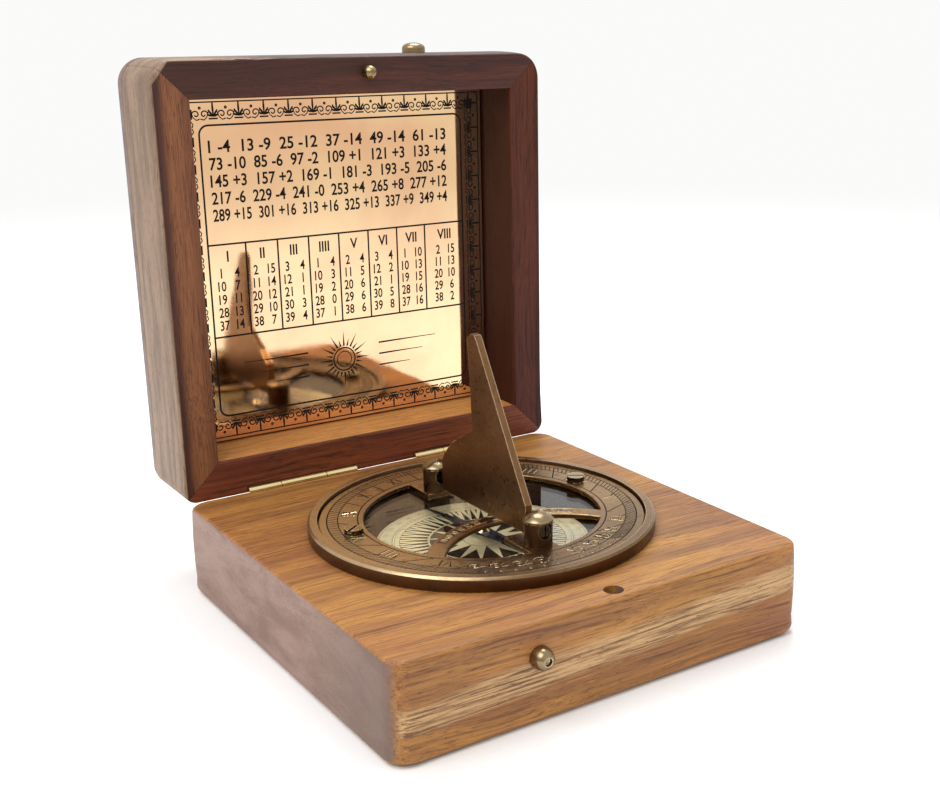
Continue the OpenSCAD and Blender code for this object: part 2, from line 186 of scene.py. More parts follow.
class Finish(Nodes):
    """One material and its principled shader, listed in FINISHES under its name."""

    NAMES = {"ior": "IOR", "specular_level": "Specular IOR Level"}  # sockets not in title case

    def __init__(self, name):
        self.material = bpy.data.materials.new(name)
        self.material.use_nodes = True
        super().__init__(self.material.node_tree)
        self.shader = self.tree.nodes["Principled BSDF"]
        FINISHES[name] = self.material

    def finish(self, **inputs):
        for key, value in inputs.items():
            name = self.NAMES.get(key, key.replace("_", " ").title())
            if isinstance(value, tuple) and len(value) == 3:
                value = (*value, 1)
            self.put(self.shader.inputs[name], value)
        return self.material


# -------- wood

def wood(name, early, late, deep, grain="x", seed=0.0, accent=None, end_tone_and_sheen=(0.20, 0.13, 0.11),
         streaks=0.75, gloss=0.5):
    """Oiled hardwood: broad bands, fine dark streaks, fibres and short pores along the grain.

    grain is the axis along which the board was cut. early and late colour the bands and deep the
    streaks and pores. accent(finish, colour, fibres) may add a figure of its own.
    """
    f = Finish(name)
    turn = {"x": (0, 0, 0), "y": (0, 0, math.radians(-90)), "z": (0, math.radians(90), 0)}[grain]
    along = f.place(shift=(seed * 37, seed * 53, seed * 19), turn=turn)

    def stretched(lengthwise, across):
        return f.scaled(swayed, (lengthwise, across, across))

    sway = f.add("ShaderNodeTexNoise", {
        "Vector": f.scaled(along, (0.012, 0.03, 0.03)), "Scale": 1.0, "Detail": 2.0}).outputs["Color"]
    offset = f.scaled(sway, (0, 9, 9))
    swayed = f.add("ShaderNodeVectorMath", {0: along, 1: offset}, operation="ADD").outputs[0]
    band = f.noise(stretched(0.006, 0.16), 1.0, 4, 0.6)
    line = f.noise(stretched(0.026, 1.5), 1.0, 5, 0.66)
    fine = f.noise(stretched(0.07, 4.2), 1.0, 4, 0.62)
    fibres = f.noise(stretched(0.3, 9.0), 1.0, 3, 0.6)
    pores = f.noise(stretched(0.42, 5.2), 1.0, 1, 0.4)
    pore = f.span(pores, 0.66, 0.73)
    colour = f.mix(f.span(band, 0.4, 0.6), early, late)
    colour = f.mix(f.span(line, 0.5, 0.68, 0.0, streaks), colour, deep)
    colour = f.mix(f.span(fine, 0.51, 0.64, 0.0, 0.7 * streaks), colour, deep)
    colour = f.mix(f.span(line, 0.44, 0.3, 0.0, 0.5), colour, tuple(c * 1.45 for c in early))
    colour = f.mix(f.span(fibres, 0.35, 0.7, 0.0, 0.3), colour, late)
    broad = f.noise(along, 0.022, 2, 0.5)
    warm = f.ramp(broad, [(0.34, (1.04, 1.06, 0.74)), (0.5, (1, 1, 1)), (0.66, (0.92, 0.82, 0.9))])
    colour = f.mix(0.9, colour, warm, "MULTIPLY")
    if accent:
        colour = accent(f, colour, fine)
    colour = f.mix(f.times(pore, 0.7), colour, deep)
    normal = f.split(f.add("ShaderNodeTexCoord").outputs["Normal"])
    facing = f.maths("ABSOLUTE", normal[{"x": 0, "y": 1, "z": 2}[grain]])
    end = f.span(facing, 0.6, 0.95)
    clouds = f.noise(f.place(scale=(1, 0.05, 0.13), shift=(0, seed, 0)), 1.0, 6, 0.68, 0.5)
    specks = f.noise(f.place(), 2.6, 4, 0.7)
    # End grain tone on faces across the grain; on the base its grey-mauve is partly the wood's own end
    # grain and partly a painted sheen.
    end_grain_and_sheen = f.mix(f.span(clouds, 0.36, 0.66), tuple(c * 1.15 for c in end_tone_and_sheen),
                      (end_tone_and_sheen[0] * 0.72, end_tone_and_sheen[1] * 0.63, end_tone_and_sheen[2] * 0.6))
    end_grain_and_sheen = f.mix(f.span(specks, 0.5, 0.68, 0.0, 0.5), end_grain_and_sheen, deep)
    # Painted shade: the end grain darkens towards the front.
    painted_front_end_shade = f.span(f.spot()[1], -6.0, -50.0, 0.0, 0.72)
    end_grain_and_sheen = f.mix(painted_front_end_shade, end_grain_and_sheen, tuple(c * 0.42 for c in end_tone_and_sheen))
    colour = f.mix(f.times(end, 0.93), colour, end_grain_and_sheen)
    worn = f.edges(0.35 * MM)
    colour = f.mix(f.times(worn, 0.22), colour, deep)
    height = f.maths("SUBTRACT", f.times(fibres, 0.6), pore)
    f.put(f.shader.inputs["Normal"], f.bump(height, 0.3, 0.1 * MM))
    rough = f.span(fine, 0.3, 0.75, 0.4, 0.6)
    return f.finish(base_color=colour, roughness=rough, specular_level=gloss)


def sapwood_band(f, colour, fine):
    """Pale streaked sapwood along the front of the base, lower at its left."""
    x, y, z = f.spot()
    wave = f.noise(f.place(scale=(0.014, 0.06, 0.06)), 1.0, 4, 0.55)
    level = f.plus(f.maths("SUBTRACT", z, f.times(x, 0.062)), f.times(wave, 6.0))
    band = f.times(f.span(level, 11.3, 12.6), f.span(level, 19.0, 16.6))
    lines = f.noise(f.place(scale=(0.07, 1.0, 2.1), shift=(7, 3, 5)), 1.0, 6, 0.75)
    pale = f.ramp(lines, [(0.4, (0.12, 0.055, 0.022)), (0.48, (0.36, 0.2, 0.085)),
                          (0.58, (0.58, 0.37, 0.17))])
    front = f.span(y, -49.2, -50.2)
    return f.mix(f.times(f.times(band, front), 0.9), colour, pale)


def sapwood(f, along):
    """Pale grey-brown sapwood with short dark pores; along is the grain's scale per axis."""
    speck = f.noise(f.place(scale=tuple(0.5 if a else 4.0 for a in along)), 1.0, 3, 0.6)
    cloud = f.noise(f.place(scale=tuple(0.04 if a else 0.3 for a in along)), 1.0, 4, 0.6)
    pale = f.mix(f.span(cloud, 0.35, 0.65), (0.30, 0.195, 0.125), (0.18, 0.112, 0.072))
    return f.mix(f.span(speck, 0.54, 0.68, 0.0, 0.8), pale, (0.11, 0.065, 0.045))


def lid_corner(f, x, z):
    """1 on the lid's rounded corner at its top left, and 0 elsewhere."""
    corner = f.maths("SUBTRACT", f.times(z, 0.8), x)
    return f.span(corner, 143.7, 144.1)


def pale_top(f, colour, fine):
    """Sapwood on the outer face of the lid's top wall, towards its left end, in ragged streaks."""
    x, _, z = f.spot()
    ragged = f.plus(x, f.times(fine, 70.0))
    outer = f.times(f.span(z, 122.0, 122.3), f.span(ragged, 9.0, 3.0))
    return f.mix(f.maths("MAXIMUM", outer, lid_corner(f, x, z)), colour, sapwood(f, (1, 0, 0)))


def pale_flank(f, colour, fine):
    """Sapwood on the lid's left flank, and a warmer middle along its rim."""
    x, _, z = f.spot()
    pale = sapwood(f, (0, 0, 1))
    middle = f.times(f.span(x, -49.5, -47.0), f.span(x, -43.0, -45.0, 0.55, 1.0))
    colour = f.mix(f.times(middle, 0.75), colour,
                   f.mix(f.span(fine, 0.45, 0.66), (0.27, 0.105, 0.038), (0.12, 0.04, 0.018)))
    outer = f.maths("MAXIMUM", f.span(x, -49.9, -50.15), lid_corner(f, x, z))
    return f.mix(outer, colour, pale)


def shaded_inside(f, colour, fine):
    """The right wall's inner face, darker than its rim: painted shade within the lid's recess."""
    x, y, _ = f.spot()
    inside = f.times(f.span(x, 42.6, 42.2), f.span(y, 51.2, 51.7))
    return f.mix(f.times(inside, 0.8), colour, (0.035, 0.008, 0.005))


def golden_inside(f, colour, fine):
    """The lower wall's inner face, painted golden as light falling on it from above, where the rim around
    it is dark.
    """
    _, y, z = f.spot()
    inside = f.times(f.span(z, 29.3, 29.7), f.span(y, 51.2, 51.7))
    painted_light_gold = f.mix(f.span(fine, 0.4, 0.66), (0.76, 0.36, 0.095), (0.42, 0.17, 0.05))
    return f.mix(f.times(inside, 0.85), colour, painted_light_gold)


# -------- metal, glass and filling

def aged_brass(name, dark, mid, bright, rough=(0.26, 0.42), wear=0.85, brushed=None,
               mottling=1.0, walls=0.0, well=False, painted_front_shade_and_left_light=False):
    """Antiqued brass: brown patina in clouds, worn bright along its edges.

    walls is how much darker the upright faces are, partly patina where no cloth rubs and partly a
    painted dark reflection; well blackens the inside of the compass bowl, and the front option
    darkens the dial's front as painted shade and lightens its left as a painted reflection.
    """
    f = Finish(name)
    clouds = f.noise(f.place(shift=(3, 8, 2)), 0.09, 5, 0.6)
    grime = f.noise(f.place(), 0.55, 6, 0.68)
    colour = f.ramp(clouds, [(0.25, tuple(c * 0.78 for c in mid)), (0.5, mid),
                             (0.8, tuple(c * 1.15 for c in mid))])
    colour = f.mix(f.span(grime, 0.5, 0.75, 0.0, 0.6 * mottling), colour, dark)
    # Painted shade over the front and a painted reflection lightening the left.
    if painted_front_shade_and_left_light:
        x, y, _ = f.spot()
        colour = f.mix(f.span(y, -6.0, -34.0, 0.0, 0.5), colour, dark)
        colour = f.mix(f.span(x, -10.0, -34.0, 0.0, 0.3), colour, bright)
    # Upright faces darkened, partly patina and partly a painted dark reflection.
    if walls:
        up = f.split(f.add("ShaderNodeTexCoord").outputs["Normal"])[2]
        upright = f.span(f.maths("ABSOLUTE", up), 0.75, 0.3, 0.0, walls)
        colour = f.mix(upright, colour, dark)
    worn = f.times(f.edges(0.4 * MM), f.span(grime, 0.25, 0.55, 0.45, 1.0))
    colour = f.mix(f.times(worn, wear), colour, bright)
    if well:
        x, y, z = f.spot()
        radius = f.maths("SQRT", f.plus(f.times(x, x), f.times(y, y)))
        inside = f.times(f.span(radius, 29.5, 28.5), f.span(z, 23.2, 22.4))
        colour = f.mix(inside, colour, (0.04, 0.026, 0.018))
    fine = f.noise(f.place(scale=brushed or (1, 1, 1)), 3.0, 3, 0.6)
    pits = f.noise(f.place(), 1.6, 4, 0.7)
    height = f.plus(f.times(fine, 0.5), pits)
    f.put(f.shader.inputs["Normal"], f.bump(height, 0.22, 0.05 * MM))
    smooth = f.maths("SUBTRACT", f.span(grime, 0.3, 0.75, *rough), f.times(worn, 0.1))
    return f.finish(base_color=colour, roughness=smooth, metallic=1.0)


def sheet_brass(name, pale, warm, rough, smudges=0.5, metal=1.0, wave=0.0):
    """Polished sheet brass with a faint rolled grain, tarnish clouds and finger marks.

    wave is how far the sheet is from flat.
    """
    f = Finish(name)
    cloud = f.noise(f.place(shift=(11, 5, 9)), 0.025, 4, 0.55, 0.5)
    smear = f.noise(f.place(scale=(0.6, 1, 0.25)), 0.16, 5, 0.6, 0.8)
    colour = f.mix(f.span(cloud, 0.36, 0.66), pale, warm)
    colour = f.mix(f.span(smear, 0.5, 0.75, 0.0, 0.25 * smudges), colour,
                   tuple(c * 0.72 for c in warm))
    lines = f.noise(f.place(scale=(0.05, 1, 6)), 2.0, 3, 0.6)
    normal = f.bump(lines, 0.05, 0.02 * MM)
    if wave:
        swell = f.noise(f.place(scale=(0.16, 1, 0.03), shift=(4, 0, 2)), 1.0, 2, 0.5)
        normal = f.bump(swell, wave, 0.05 * MM, normal)
    f.put(f.shader.inputs["Normal"], normal)
    return f.finish(base_color=colour, metallic=metal,
                    roughness=f.span(smear, 0.35, 0.75, rough, rough + 0.12 * smudges))


def filling(name, tone, sheen):
    """Dark wax or oxide in engraved lines, thin in places."""
    f = Finish(name)
    worn = f.noise(f.place(), 0.9, 4, 0.6)
    colour = f.mix(f.span(worn, 0.5, 0.8, 0.0, 0.35), tone, tuple(2.6 * c for c in tone))
    return f.finish(base_color=colour, roughness=f.span(worn, 0.3, 0.7, 0.55, 0.75),
                    metallic=sheen, specular_level=0.15)


def clear_glass(name):
    f = Finish(name)
    dust = f.noise(f.place(), 0.4, 4, 0.6)
    return f.finish(base_color=(0.97, 0.985, 0.97), roughness=f.span(dust, 0.55, 0.8, 0.0, 0.03),
                    transmission_weight=1.0, ior=1.26)


def blued_steel(name):
    f = Finish(name)
    cloud = f.noise(f.place(), 0.3, 4, 0.6)
    colour = f.ramp(cloud, [(0.3, (0.03, 0.04, 0.09)), (0.6, (0.06, 0.09, 0.2)),
                            (0.8, (0.16, 0.13, 0.16))])
    return f.finish(base_color=colour, metallic=1.0, roughness=f.span(cloud, 0.3, 0.7, 0.2, 0.35))


BASE_WOOD = dict(early=(0.43, 0.195, 0.044), late=(0.275, 0.114, 0.032), deep=(0.075, 0.025, 0.01),
                 streaks=0.8)
LID_WOOD = dict(early=(0.105, 0.026, 0.015), late=(0.05, 0.013, 0.009), deep=(0.014, 0.005, 0.004),
                end_tone_and_sheen=(0.05, 0.02, 0.015), streaks=0.75, gloss=0.35)
AGED = dict(dark=(0.085, 0.042, 0.02), mid=(0.33, 0.2, 0.094), bright=(0.86, 0.68, 0.42))

# The base's grey-mauve end tone is its end grain's colour with a painted sheen.
wood("base_wood", seed=1.0, accent=sapwood_band, end_tone_and_sheen=(0.265, 0.17, 0.138),
     gloss=0.4, **BASE_WOOD)
wood("top_wall_wood", seed=2.3, accent=pale_top, **LID_WOOD)
wood("right_wall_wood", grain="z", seed=3.1, accent=shaded_inside, **{**LID_WOOD, "gloss": 0.2})
wood("left_wall_wood", grain="z", seed=5.4, accent=pale_flank, **LID_WOOD)
wood("low_wall_wood", seed=6.2, accent=golden_inside,
     **{**LID_WOOD, "early": (0.21, 0.052, 0.018),
        "late": (0.115, 0.028, 0.012)})
wood("panel_wood", seed=4.2, early=(0.27, 0.115, 0.042),
     late=(0.15, 0.055, 0.022), deep=(0.05, 0.017, 0.009),
     end_tone_and_sheen=(0.18, 0.13, 0.115))
sheet_brass("polished_brass", (0.95, 0.70, 0.42), (0.86, 0.54, 0.33), 0.02, wave=0.5)
sheet_brass("hinge_brass", (0.98, 0.84, 0.46), (0.83, 0.66, 0.33), 0.2, 0.9)
aged_brass("peg_brass", dark=(0.08, 0.055, 0.025), mid=(0.42, 0.32, 0.16),
           bright=(1.0, 0.86, 0.56), wear=1.0, rough=(0.2, 0.36), walls=0.4)
sheet_brass("card_brass", (1.0, 0.86, 0.54), (0.95, 0.78, 0.44), 0.35, 0.4, metal=0.0)
aged_brass("dial_brass", walls=0.75, mottling=1.5, rough=(0.24, 0.46),
           painted_front_shade_and_left_light=True,
           **{**AGED, "mid": (0.34, 0.205, 0.092)})
aged_brass("bowl_brass", walls=0.9, well=True, painted_front_shade_and_left_light=True, **AGED)
aged_brass("post_brass", dark=(0.035, 0.018, 0.01), mid=(0.115, 0.06, 0.03),
           bright=(0.6, 0.45, 0.26))
aged_brass("knob_brass", dark=(0.09, 0.06, 0.034), mid=(0.3, 0.22, 0.125),
           bright=(1.0, 0.86, 0.6), wear=1.0, rough=(0.2, 0.36))
aged_brass("screw_brass", dark=(0.04, 0.024, 0.015), mid=(0.45, 0.34, 0.19),
           bright=(1.0, 0.88, 0.62), wear=1.0, rough=(0.15, 0.3), walls=0.95)
aged_brass("gnomon_brass", dark=(0.08, 0.038, 0.018), mid=(0.21, 0.11, 0.05),
           bright=(0.82, 0.66, 0.42), brushed=(1, 6, 0.4), rough=(0.26, 0.38))
aged_brass("painted_bore_shade", (0.012, 0.011, 0.012), (0.04, 0.03, 0.026), (0.2, 0.17, 0.13), wear=0.3)
# Pivot screws, dark as painted shade inside their bores.
aged_brass("painted_shade_bore_brass", (0.02, 0.014, 0.011), (0.08, 0.055, 0.035), (0.5, 0.42, 0.3), wear=0.9)
sheet_brass("glint_brass", (1.0, 0.83, 0.52), (0.85, 0.66, 0.36), 0.14)
aged_brass("field_brass", dark=(0.05, 0.026, 0.016), mid=(0.16, 0.085, 0.05),
           bright=(0.4, 0.25, 0.13), wear=0.3, mottling=1.4)
filling("dark_filling", (0.016, 0.009, 0.006), 0.1)
filling("black_filling", (0.012, 0.009, 0.008), 0.0)
clear_glass("glass")
blued_steel("needle_steel")


# -------- mesh helpers

def piece(name, verts, faces, finish, body, replaced=(), smooth_angle=35):
    """Makes a mesh piece in its place, gives it a finish and lets it ride on a body."""
    mesh = bpy.data.meshes.new(name)
    mesh.from_pydata([tuple(v) for v in verts], [], faces)
    work = bmesh.new()
    work.from_mesh(mesh)
    bmesh.ops.recalc_face_normals(work, faces=work.faces)
    work.to_mesh(mesh)
    work.free()
    obj = bpy.data.objects.new(name, mesh)
    bpy.context.collection.objects.link(obj)
    mesh.materials.append(FINISHES[finish])
    shade(mesh, smooth_angle)
    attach(obj, body)
    if replaced:
        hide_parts(*replaced)
    return obj


def shade(mesh, angle):
    mesh.shade_smooth()
    mesh.set_sharp_from_angle(angle=math.radians(angle))


def cut(obj, cutters):
    """Subtracts closed meshes, given as (verts, faces), from a piece."""
    for verts, faces in cutters:
        mesh = bpy.data.meshes.new("cutter")
        mesh.from_pydata([tuple(v) for v in verts], [], faces)
        tool = bpy.data.objects.new("cutter", mesh)
        bpy.context.collection.objects.link(tool)
        step = obj.modifiers.new("cut", "BOOLEAN")
        step.operation, step.solver, step.object = "DIFFERENCE", "EXACT", tool
        graph = bpy.context.evaluated_depsgraph_get()
        result = bpy.data.meshes.new_from_object(obj.evaluated_get(graph))
        obj.modifiers.clear()
        old, obj.data = obj.data, result
        bpy.data.objects.remove(tool)
        bpy.data.meshes.remove(mesh)
        bpy.data.meshes.remove(old)
    shade(obj.data, 35)


def block(low, high):
    """A closed box as (verts, faces)."""
    xs, ys, zs = ((low[i], high[i]) for i in range(3))
    verts = [(x, y, z) for x in xs for y in ys for z in zs]
    faces = [(0, 1, 3, 2), (4, 6, 7, 5), (0, 4, 5, 1), (2, 3, 7, 6), (0, 2, 6, 4), (1, 5, 7, 3)]
    return verts, faces


def rod(start, end, radius, sides=32, end_radius=None):
    """A closed cylinder or cone between two points as (verts, faces)."""
    start, end = Vector(start), Vector(end)
    turn = (end - start).to_track_quat("Z", "Y").to_matrix()
    ring = [turn @ Vector((math.cos(a), math.sin(a), 0))
            for a in (2 * math.pi * i / sides for i in range(sides))]
    verts = [start + p * radius for p in ring] + [end + p * (end_radius or radius) for p in ring]
    faces = [(i, (i + 1) % sides, sides + (i + 1) % sides, sides + i) for i in range(sides)]
    return verts, faces + [tuple(range(sides - 1, -1, -1)), tuple(range(sides, 2 * sides))]


def rounded_square(half, radius, arc_steps=10, side_steps=12, low_radius=None):
    """Points round a square with round corners, anticlockwise from the right side's middle.

    low_radius is for the two lower corners where they differ.
    """
    points = []
    for quarter in range(4):
        spin = Matrix.Rotation(math.radians(90 * quarter), 2)
        if quarter > 1 and low_radius:
            radius = low_radius
        reach = half - radius
        side = [(half, reach * t / side_steps) for t in range(side_steps)]
        back = [(reach * (side_steps - t) / side_steps, half) for t in range(side_steps)]
        arc = [(reach + radius * math.cos(a), reach + radius * math.sin(a))
               for a in (math.radians(90 * i / arc_steps) for i in range(arc_steps))]
        points += [spin @ Vector(p) for p in side + arc + back]
    return points


def stacked(loops, cap_start=True, cap_end=True):
    """Faces between loops of equally many points, as (verts, faces)."""
    count = len(loops[0])
    verts = [p for loop in loops for p in loop]
    faces = []
    for level in range(len(loops) - 1):
        for i in range(count):
            j = (i + 1) % count
            faces.append((level * count + i, level * count + j,
                          (level + 1) * count + j, (level + 1) * count + i))
    if cap_start:
        faces.append(tuple(range(count - 1, -1, -1)))
    if cap_end:
        faces.append(tuple(range((len(loops) - 1) * count, len(loops) * count)))
    return verts, faces


def arc_profile(radius, steps=5):
    """(inset, rise) pairs of a quarter round, from its side up to its face."""
    return [(radius * (1 - math.cos(a)), radius * math.sin(a))
            for a in (math.radians(90 * i / steps) for i in range(steps + 1))]


# -------- box

def base_block():
    """The base: round upright edges, a rounded foot, and its top edge eased by hand."""
    height = BASE_HIGH.z
    foot, brow, belly, corner = 1.8 * MM, 1.0 * MM, 0.25 * MM, 4.2 * MM
    levels = [(inset, foot - rise, corner + inset) for inset, rise in reversed(arc_profile(foot))]
    for step in range(1, 8):
        share = step / 8
        levels.append((belly * (2 * share - 1) ** 2, foot + (height - foot - brow) * share, corner))
    levels += [(belly + inset, height - brow + rise, corner) for inset, rise in arc_profile(brow)]
    levels.append((belly + brow + 0.3 * MM, height, corner - 0.3 * MM))
    loops = []
    for inset, z, radius in levels:
        square = rounded_square(HALF_W - inset, radius)
        loops.append([Vector((p.x, p.y, z)) for p in square])
    angles = [math.atan2(p.y, p.x) for p in loops[-1]]
    floor_z = TOP_Z - POCKET_DEPTH
    for radius, z in ((POCKET_R + 0.3 * MM, TOP_Z), (POCKET_R, TOP_Z - 0.3 * MM),
                      (POCKET_R, floor_z)):
        loops.append([Vector((radius * math.cos(a), radius * math.sin(a), z)) for a in angles])
    verts, faces = stacked(loops)
    wood_block = piece("base_block_wood", verts, faces, "base_wood", "box",
                       ["base_block"])
    peg = middle_of("lid_peg")
    hole_y = HINGE.y - (peg.z - HINGE.z)           # where the peg comes down as the lid closes
    hole = rod((peg.x, hole_y, TOP_Z - PEG_HOLE_DEPTH), (peg.x, hole_y, TOP_Z + 1 * MM), PEG_HOLE_R)
    step = block((-HALF_W - 1 * MM, HINGE.y, TOP_Z - 0.4 * MM),
                 (HALF_W + 1 * MM, HALF_W + 1 * MM, TOP_Z + 1 * MM))
    cut(wood_block, [hole, step] + hinge_cuts(-1))
    return wood_block


def hinge_cuts(side):
    """Grooves and mortises for both hinges; side -1 is the base and 1 the open lid."""
    cuts = []
    for which in ("left", "right"):
        low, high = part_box(f"{which}_hinge_base_leaf")
        gap = 0.1 * MM
        cuts.append(rod((low.x - gap, HINGE.y, HINGE.z), (high.x + gap, HINGE.y, HINGE.z),
                        HINGE_GROOVE_R))
        if side < 0:
            cuts.append(block((low.x - gap, high.y - 1.55 * MM, low.z - gap),
                              (high.x + gap, high.y + 5 * MM, TOP_Z + 1 * MM)))
        else:
            leaf_low, leaf_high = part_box(f"{which}_hinge_lid_leaf")
            cuts.append(block((low.x - gap, RIM_Y - 1 * MM, leaf_low.z - 5 * MM),
                              (high.x + gap, leaf_high.y + gap, HINGE.z + 0.41 * MM)))
    return cuts


def near_hinge(height):
    """0 along the lid's free edges and 1 within a few millimetres of its hinged edge."""
    share = min(max((height - (LID_LOW_Z + 4 * MM)) / (9 * MM), 0), 1)
    return 1 - share * share * (3 - 2 * share)


def lid_wall(name, turn, finish, corners):
    """One mitred wall. turn is 0 for the wall at the top of the open lid, then 90, 180, 270.

    corners holds the outer corner radius at the wall's anticlockwise end and at its other end.
    """
    depth = PANEL_Y - RIM_Y
    inner_edge, belly, seam, mitre_gap = 0.4 * MM, 0.3 * MM, 0.12 * MM, 0.03 * MM
    inner = HALF_W - WALL_T
    def end_points(radius):
        reach = HALF_W - radius
        arc = [math.radians(45 + 45 * i / 8) for i in range(9)]
        return [((reach + radius * math.cos(a), reach + radius * math.sin(a)),
                 (inner - 5 * MM * i / 8, inner)) for i, a in enumerate(arc)]

    right, left = end_points(corners[0]), end_points(corners[1])
    spots = right[:]
    start, stop = right[-1], left[-1]
    for t in (i / 12 for i in range(1, 12)):
        spots.append(tuple((p[0] * (1 - t) - q[0] * t, p[1] * (1 - t) + q[1] * t)
                           for p, q in zip(start, stop)))
    spots += [((-o[0], o[1]), (-i[0], i[1])) for o, i in reversed(left)]
    spin = Matrix.Rotation(math.radians(turn), 2)
    loops = []
    for outer_point, inner_point in spots:
        o, i = Vector(outer_point), Vector(inner_point)
        o.x -= math.copysign(mitre_gap, o.x)
        i.x -= math.copysign(mitre_gap, i.x)
        tight = near_hinge(LID_MID_Z + (spin @ o).y)
        edge = (0.6 - 0.32 * tight) * MM
        swell = belly * (1 - tight)
        profile = [(seam + swell, depth), (swell, depth - seam)]
        profile += [(swell * (2 * t / 6 - 1) ** 2, depth * (1 - t / 6)) for t in range(1, 6)]
        profile += [(swell + inset, edge - rise) for inset, rise in arc_profile(edge)]
        profile += [(swell + edge + 0.4 * MM, 0), (WALL_T - inner_edge - 0.3 * MM, 0)]
        profile += [(WALL_T - inset, inner_edge - rise)
                    for inset, rise in reversed(arc_profile(inner_edge, 3))]
        profile += [(WALL_T, 1.2 * MM), (WALL_T, depth - 0.5 * MM), (WALL_T, depth)]
        ring = []
        for inset, back in profile:
            p = spin @ o.lerp(i, inset / WALL_T)
            ring.append(Vector((p.x, RIM_Y + back, LID_MID_Z + p.y)))
        loops.append(ring)
    verts, faces = stacked(loops)
    wall = piece(f"{name}_wood", verts, faces, finish, "lid", [name])
    if name == "lid_back_wall":
        cut(wall, hinge_cuts(1))
    return wall


def lid_panel():
    """The lid's top board, its field raised inside the walls to carry the plate."""
    seam, brow, belly = 0.12 * MM, 1.3 * MM, 0.3 * MM
    depth = LID_BACK_Y - PANEL_Y
    levels = [(belly + seam, 0), (belly, seam)]
    levels += [(belly + inset, depth - brow + rise) for inset, rise in arc_profile(brow)]
    levels.append((belly + brow + 0.5 * MM, depth))
    loops = []
    for inset, back in levels:
        square = rounded_square(HALF_W - inset, LID_CORNER - inset * 0.5,
                                low_radius=LID_HINGE_CORNER)
        loops.append([Vector((p.x, PANEL_Y + back, LID_MID_Z + p.y)) for p in square])
    verts, faces = stacked(loops)
    half = HALF_W - WALL_T - 0.1 * MM
    field = []
    for inset, y in ((0, PANEL_Y + 0.01 * MM), (0, FIELD_Y + 0.2 * MM), (0.2 * MM, FIELD_Y)):
        square = rounded_square(half - inset, 0.5 * MM, 2, 2)
        field.append([Vector((p.x, y, LID_MID_Z + p.y)) for p in square])
    more_verts, more_faces = stacked(field)
    shift = len(verts)
    faces += [tuple(i + shift for i in face) for face in more_faces]
    return piece("lid_panel_wood", verts + more_verts, faces, "panel_wood", "lid",
                 ["lid_panel"])


base_block()
lid_wall("lid_front_wall", 0, "top_wall_wood", (LID_CORNER, LID_CORNER))
lid_wall("lid_left_wall", 90, "left_wall_wood", (LID_CORNER, LID_HINGE_CORNER))
lid_wall("lid_back_wall", 180, "low_wall_wood", (LID_HINGE_CORNER, LID_HINGE_CORNER))
lid_wall("lid_right_wall", 270, "right_wall_wood", (LID_HINGE_CORNER, LID_CORNER))
lid_panel()


# -------- turned knobs

def turned(name, root, axis, profile, finish, body, node):
    """A turned piece: profile is (radius, height) pairs in millimetres up its axis from root."""
    turn = Vector(axis).to_track_quat("Z", "Y").to_matrix()
    loops, sides = [], 48
    for radius, height in profile:
        loops.append([Vector(root) + turn @ Vector((radius * MM * math.cos(a),
                                                    radius * MM * math.sin(a), height * MM))
                      for a in (2 * math.pi * i / sides for i in range(sides))])
    verts, faces = stacked(loops)
    return piece(name, verts, faces, finish, body, [node], smooth_angle=50)


def knobs():
    """The base's knob has a rimmed dimple in its tip; the lid's is a plain dome on a collar."""
    middle = middle_of("base_knob")
    root = (middle.x, -HALF_W + 0.2 * MM, middle.z)
    dome = [(1.2 + 1.18 * math.cos(a), 0.5 + 2.6 * math.sin(a))
            for a in (math.radians(12 * i) for i in range(7))]
    tip = [(1.26, 3.2), (1.18, 3.29), (1.02, 3.3), (0.86, 3.27), (0.8, 3.1), (0.72, 2.6), (0.3, 2.4)]
    turned("base_knob_turned", root, (0, -1, 0), [(2.2, -0.5), (2.32, 0.0), (2.38, 0.12)] + dome + tip,
           "knob_brass", "box", "base_knob")
    middle = middle_of("lid_knob")
    root = (middle.x, middle.y, LID_HIGH_Z - 0.3 * MM)
    dome = [(2.84 * math.cos(a), 1.45 + 1.3 * math.sin(a))
            for a in (math.radians(8 + 11 * i) for i in range(8))]
    turned("lid_knob_turned", root, (0, 0, 1), [(2.86, -0.3), (2.88, 0.2), (2.88, 1.3), (2.84, 1.5)]
           + dome, "knob_brass", "lid", "lid_knob")


def posts():
    """The gnomon's two posts, cross-bored for the pivots, with the bores' mouths eased and painted dark
    as shade in the holes.
    """
    bore_z = Vector(JOINTS["gnomon_fold"]["pos_m"]).z
    for node in ("front_post", "rear_post"):
        low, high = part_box(node)
        x, y, radius = (low.x + high.x) / 2, (low.y + high.y) / 2, (high.y - low.y) / 2
        tall = (high.z - DIAL_Z) / MM
        r = radius / MM
        post = turned(f"{node}_turned", (x, y, DIAL_Z), (0, 0, 1),
                      [(r - 0.08, 0), (r, 0.1), (r, tall - 0.12), (r - 0.1, tall)],
                      "post_brass", "box", node)
        cutters = [rod((x, y - 2 * radius, bore_z), (x, y + 2 * radius, bore_z), 1.32 * MM)]
        for side in (-1, 1):
            mouth = y + side * (radius + 0.1 * MM)
            cutters.append(rod((x, mouth, bore_z), (x, mouth - side * 1.1 * MM, bore_z),
                               1.85 * MM, end_radius=1.3 * MM))
        cut(post, cutters)
        # The bore faces get a dark finish as painted shade in the holes.
        post.data.materials.append(FINISHES["painted_bore_shade"])
        for face in post.data.polygons:
            across = Vector((face.center.x - x, face.center.z - bore_z)).length
            if across < 1.7 * MM:
                face.material_index = 1


knobs()
posts()


# -------- engraved lines

